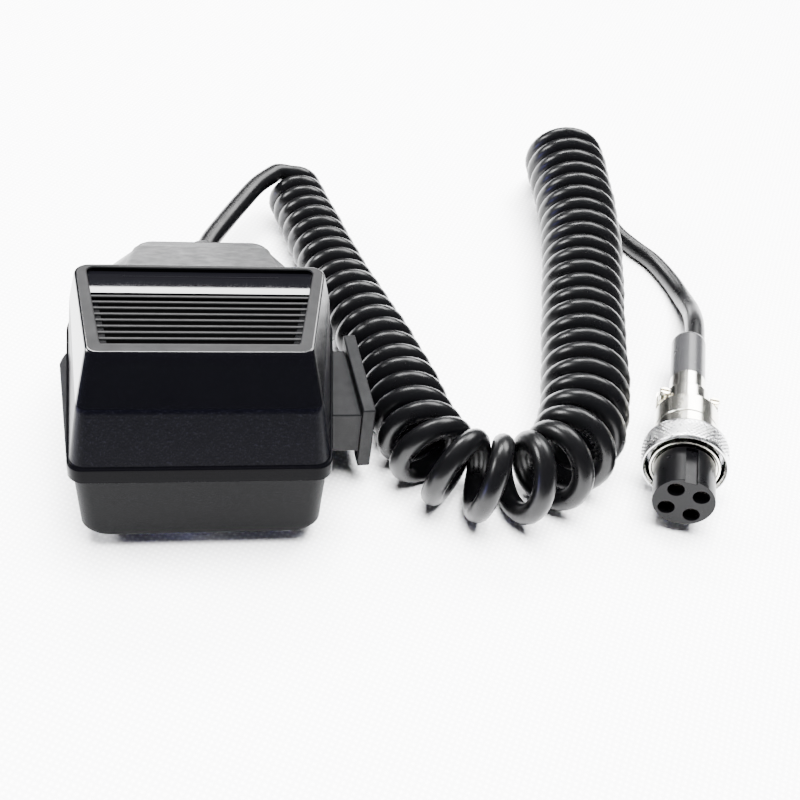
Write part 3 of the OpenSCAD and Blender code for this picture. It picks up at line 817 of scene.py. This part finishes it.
class MIC_OT_plug_body(Operator):
    """Builds the plug's insert and its sleeve"""
    bl_idname = "mic.plug_body"
    bl_label = "Insert and sleeve"

    def execute(self, context):
        insert = refined("plug_insert", "plug_insert_skin", 0.16,
                         [plastic("insert_gloss", (0.0012, 0.0012, 0.0014), 0.3, specular=0.1)])
        settle(insert, "handset", "insert_black", "plug_insert")
        bm = bmesh.new()
        profile = [(5.93, 10.6), (7.05, 10.6), (7.15, 10.45), (7.55, 10.45), (7.65, 10.6),
                   (7.65, 12), (7.1, 12.2), (7.1, 21.9), (6.96, 22.05), (7.1, 22.2),
                   (7.1, 34.1), (6.8, 34.4), (4.15, 34.4), (4.15, 28), (5, 26.6), (5, 22),
                   (5.93, 21.8)]
        lathe(bm, eased(profile, 0.12))
        sleeve = make_object("plug_sleeve_skin", bm, plug_place(),
                             [metal("sleeve_chrome", (0.8, 0.78, 0.7), 0.19)])
        tools = bmesh.new()
        screw_angle = math.radians(38)
        out = Vector((math.cos(screw_angle), 0, math.sin(screw_angle)))
        middle = Vector((0, 19.4, 0))
        cylinder_mesh(tools, middle + out * 4, middle + out * 8, 1.2)
        box_mesh(tools, (-9, 27.6, 0), (9, 36, 9))
        for x in (-5.7, 5.7):
            cylinder_mesh(tools, (x, 31.7, -3), (x, 31.7, 1), 0.85)
        cut(sleeve, tools, plug_place())
        weigh_normals(sleeve)
        settle(sleeve, "handset", "bright_chrome", "plug_front_body", "plug_rear_body")
        return {"FINISHED"}


class MIC_OT_coupling_ring(Operator):
    """Builds the coupling ring with its diamond knurl"""
    bl_idname = "mic.coupling_ring"
    bl_label = "Coupling ring"

    def execute(self, context):
        bm = bmesh.new()
        count = settings().knurl_count
        sides = count * 8
        outer, depth = 9.55, 0.15
        start, end = 11.0, 16.15
        cycle = 2 * math.pi * outer / count * 1.1
        rows = 48
        profile = [(7.18, 16.6), (7.18, 15.02), (8.75, 14.98)]
        for k in range(5):
            profile += [(8.75, 14.2 - 0.7 * k), (8.5, 13.9 - 0.7 * k)]
        profile += [(8.75, 10.8), (8.85, 10.5), (9.0, 10.4), (9.2, 10.42), (9.36, 10.55),
                    (9.42, 10.75), (9.34, 10.9)]
        rings = [[(r, y)] * sides for r, y in profile]
        for k in range(rows + 1):
            y = start + (end - start) * k / rows
            fade = min(1, 6 * min(k, rows - k) / rows)
            ring = []
            for j in range(sides):
                u, v = count * j / sides, (y - start) / cycle
                rise = min(abs(((u + v) % 1) - 0.5), abs(((u - v) % 1) - 0.5)) * 2
                ring.append((outer - depth * (1 - fade * min(rise * 1.4, 1)), y))
            rings.append(ring)
        rings += [[p] * sides for p in ((9.34, 16.2), (9.4, 16.3), (9.38, 16.45), (9.2, 16.6))]
        made = []
        for ring in rings:
            row = []
            for j, (r, y) in enumerate(ring):
                a = 2 * math.pi * j / sides
                row.append(Vector((r * math.cos(a), y, r * math.sin(a))))
            made.append(row)
        # The first rings are the bore and its thread; they get dark metal, painted shade inside the bore
        inner = 12
        loft(bm, made, [1] * inner + [0] * (len(made) - inner), closed=True)
        ring = make_object("ring_skin", bm, plug_place(),
                           [metal("ring_chrome", (0.86, 0.86, 0.87), 0.26),
                            metal("thread_dark", (0.04, 0.04, 0.04), 0.3)],
                           lambda band: band, sharp=28)
        settle(ring, "ring", "bright_chrome", "coupling_ring")
        return {"FINISHED"}


class MIC_OT_plug_clamp(Operator):
    """Builds the cord clamp, its screws and the boot"""
    bl_idname = "mic.plug_clamp"
    bl_label = "Clamp and boot"

    def execute(self, context):
        place = plug_place()
        bm = bmesh.new()
        self.add_saddle(bm)
        lid = make_object("plug_clamp_lid", bm, place,
                          [metal("clamp_chrome", (0.8, 0.78, 0.72), 0.17)], sharp=25)
        tools = bmesh.new()
        cylinder_mesh(tools, (0, 25, 0), (0, 40, 0), 4.15)
        cut(lid, tools, place)
        add_bevel(lid, 0.2, 2, 40)
        settle(lid, "handset", "bright_chrome", "plug_clamp_bar")
        screws = refined("plug_clamp_screws", "plug_screws", 0.14,
                         [metal("screw_brass", (0.8, 0.75, 0.62), 0.22)], 2)
        settle(screws, "handset", "screw_brass", "plug_clamp_screws")
        bm = bmesh.new()
        bore = cord_bore()
        profile = [(bore, 28.6), (4.1, 28.6), (4.1, 54.6), (3.95, 55.2), (3.5, 55.4), (bore, 55.4)]
        lathe(bm, eased(profile, 0.1))
        boot = make_object("plug_boot_skin", bm, place,
                           [plastic("boot_plastic", (0.018, 0.018, 0.019), 0.25, tone=0.0,
                                    specular=0.3)])
        weigh_normals(boot)
        settle(boot, "handset", "boot_gray", "plug_boot")
        return {"FINISHED"}

    @staticmethod
    def add_saddle(bm):
        """Clamp's upper half: an arch with flats over the boot and an ear on each side."""
        steps = 6
        angles = [math.radians(6 + 168 * i / steps) for i in range(steps + 1)]
        arch = [Vector((4.95 * math.cos(a), 0, 0.3 + 4.7 * math.sin(a))) for a in angles]
        ends = [[p + Vector((0, y, 0)) for p in arch] for y in (28.3, 34.4)]
        loft(bm, ends, [0, 0], cap_start=True, cap_end=True)
        for side in (-1, 1):
            xs = sorted((side * 4.4, side * 6.8))
            box_mesh(bm, (xs[0], 29.6, 0.3), (xs[1], 33.8, 2.0))


# ---- Pieces that keep their CAD shape ------------------------------------------

class MIC_OT_inside(Operator):
    """Gives the inner pieces and small fittings their materials"""
    bl_idname = "mic.inside"
    bl_label = "Inner pieces"

    def execute(self, context):
        steel = metal("steel_plain", (0.7, 0.7, 0.72), 0.25, 0.2)
        can = metal("can_metal_plain", (0.62, 0.62, 0.64), 0.3, 0.3)
        magnet = metal("magnet_iron_plain", (0.3, 0.3, 0.32), 0.45, 0.4)
        brass = metal("contact_brass_plain", (0.72, 0.6, 0.36), 0.25)
        tin = metal("contact_tin_plain", (0.3, 0.28, 0.24), 0.3)
        cloth = plastic("cloth_plain", (0.0005, 0.0005, 0.0005), 0.95, 0.8, 0.2, specular=0.0)
        board = plastic("board_plain", (0.03, 0.12, 0.05), 0.4, 0.2)
        film = plastic("film_plain", (0.55, 0.5, 0.36), 0.25, 0.0)
        rubber = plastic("rubber_plain", (0.02, 0.02, 0.02), 0.6, 0.4)
        black = plastic("switch_plain", (0.02, 0.02, 0.022), 0.35, 0.2)
        white = plastic("nylon_plain", (0.7, 0.7, 0.66), 0.4, 0.1)
        looks = {
            "grille_cloth": cloth, "capsule_can": can, "capsule_magnet": magnet,
            "capsule_diaphragm": film, "capsule_gasket": rubber, "circuit_board": board,
            "switch_body": black, "switch_terminals": brass, "ptt_pin": steel,
            "hanger_screw": steel, "case_screws": steel, "cord_clamp": black,
            "cord_clamp_screws": steel, "ptt_spring": steel, "switch_plunger": white,
            "plug_contacts": tin, "plug_set_screw": steel, "ring_washer": steel}
        for node, material in looks.items():
            for slot in frame["nodes"][node].material_slots:
                slot.material = material
        return {"FINISHED"}


# ---- Stage ---------------------------------------------------------------------

def area_light(name, place, target, size, power, colour=(1, 1, 1), roll=0.0):
    """Soft square light at place, facing target."""
    data = bpy.data.lights.new(name, "AREA")
    data.shape = "RECTANGLE"
    data.size, data.size_y = size
    data.energy = power * settings().light_power
    data.color = colour
    light = bpy.data.objects.new(name, data)
    way = Vector(target) - Vector(place)
    turn = way.to_track_quat("-Z", "Y").to_matrix() @ Matrix.Rotation(roll, 3, "Z")
    light.matrix_world = Matrix.Translation(place) @ turn.to_4x4()
    bpy.context.scene.collection.objects.link(light)
    return light


def floor_material():
    """Pale woven surface."""
    material, tree, main, place = shader("floor_pale")
    threads = []
    for angle in (28, 118):
        turn = tree.nodes.new("ShaderNodeMapping")
        turn.inputs["Rotation"].default_value = (0, 0, math.radians(angle))
        tree.links.new(place, turn.inputs["Vector"])
        wave = tree.nodes.new("ShaderNodeTexWave")
        wave.inputs["Scale"].default_value = 260
        wave.inputs["Distortion"].default_value = 0.6
        wave.inputs["Detail"].default_value = 1
        wave.inputs["Detail Scale"].default_value = 2
        tree.links.new(turn.outputs["Vector"], wave.inputs["Vector"])
        threads.append(wave.outputs["Fac"])
    weave = tree.nodes.new("ShaderNodeMath")
    weave.operation = "MULTIPLY"
    for i, thread in enumerate(threads):
        tree.links.new(thread, weave.inputs[i])
    value = ramp(tree, weave.outputs["Value"], 0, 1)
    tree.links.new(mix_colour(tree, value, (0.74, 0.74, 0.75), (0.92, 0.92, 0.925)),
                   main.inputs["Base Color"])
    main.inputs["Roughness"].default_value = 0.7
    main.inputs["Specular IOR Level"].default_value = 0.25
    bump(tree, main, [(weave.outputs["Value"], 0.1, 0.25)])
    return material


class MIC_OT_stage(Operator):
    """Builds the pale floor and the soft studio light"""
    bl_idname = "mic.stage"
    bl_label = "Floor and light"

    def execute(self, context):
        bm = bmesh.new()
        bmesh.ops.create_grid(bm, x_segments=1, y_segments=1, size=3.0)
        floor = make_object("floor", bm, Matrix.Identity(4), [floor_material()])
        lights = [
            area_light("back_light", (-0.12, 0.82, 0.9), (0, 0, 0), (0.5, 0.2), 20,
                       roll=math.radians(-5)),
            area_light("right_back_light", (0.6, 0.8, 0.85), (0.1, 0, 0), (0.7, 0.5), 24),
            area_light("left_light", (-0.8, 0.35, 0.6), (0.05, 0, 0), (0.3, 0.3), 18),
            area_light("blue_light", (-0.9, -0.15, 0.08), (0, 0, 0.03), (0.25, 0.1), 3,
                       (0.3, 0.3, 1)),
            area_light("top_light", (0.1, 0.0, 1.3), (0.03, 0.03, 0), (1.0, 1.0), 235),
        ]
        lights[-1].visible_glossy = False
        world = context.scene.world or bpy.data.worlds.new("studio")
        context.scene.world = world
        world.use_nodes = True
        background = world.node_tree.nodes.get("Background")
        background.inputs["Color"].default_value = (0.93, 0.95, 1, 1)
        background.inputs["Strength"].default_value = 0.1
        return {"FINISHED"}


# ---- Panel and start -----------------------------------------------------------

class MIC_PT_panel(Panel):
    """Sizes and building steps of the microphone"""
    bl_idname = "MIC_PT_panel"
    bl_label = "Hand microphone"
    bl_space_type = "VIEW_3D"
    bl_region_type = "UI"
    bl_category = "Microphone"

    def draw(self, context):
        for name in MicSettings.__annotations__:
            self.layout.prop(context.scene.mic_settings, name)
        for operator in BUILD_ORDER:
            self.layout.operator(operator.bl_idname)


BUILD_ORDER = (MIC_OT_camera, MIC_OT_stage, MIC_OT_front_shell, MIC_OT_rear_shell, MIC_OT_grille,
               MIC_OT_lever, MIC_OT_back_fittings, MIC_OT_plug_body, MIC_OT_coupling_ring,
               MIC_OT_plug_clamp, MIC_OT_inside, MIC_OT_cord)
CLASSES = (MicSettings, *BUILD_ORDER, MIC_PT_panel)


def register():
    for cls in CLASSES:
        bpy.utils.register_class(cls)
    bpy.types.Scene.mic_settings = PointerProperty(type=MicSettings)


def unregister():
    del bpy.types.Scene.mic_settings
    for cls in reversed(CLASSES):
        bpy.utils.unregister_class(cls)


def main():
    register()
    for operator in BUILD_ORDER:
        group, name = operator.bl_idname.split(".")
        getattr(getattr(bpy.ops, group), name)()
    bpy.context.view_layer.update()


if __name__ == "__main__":
    main()
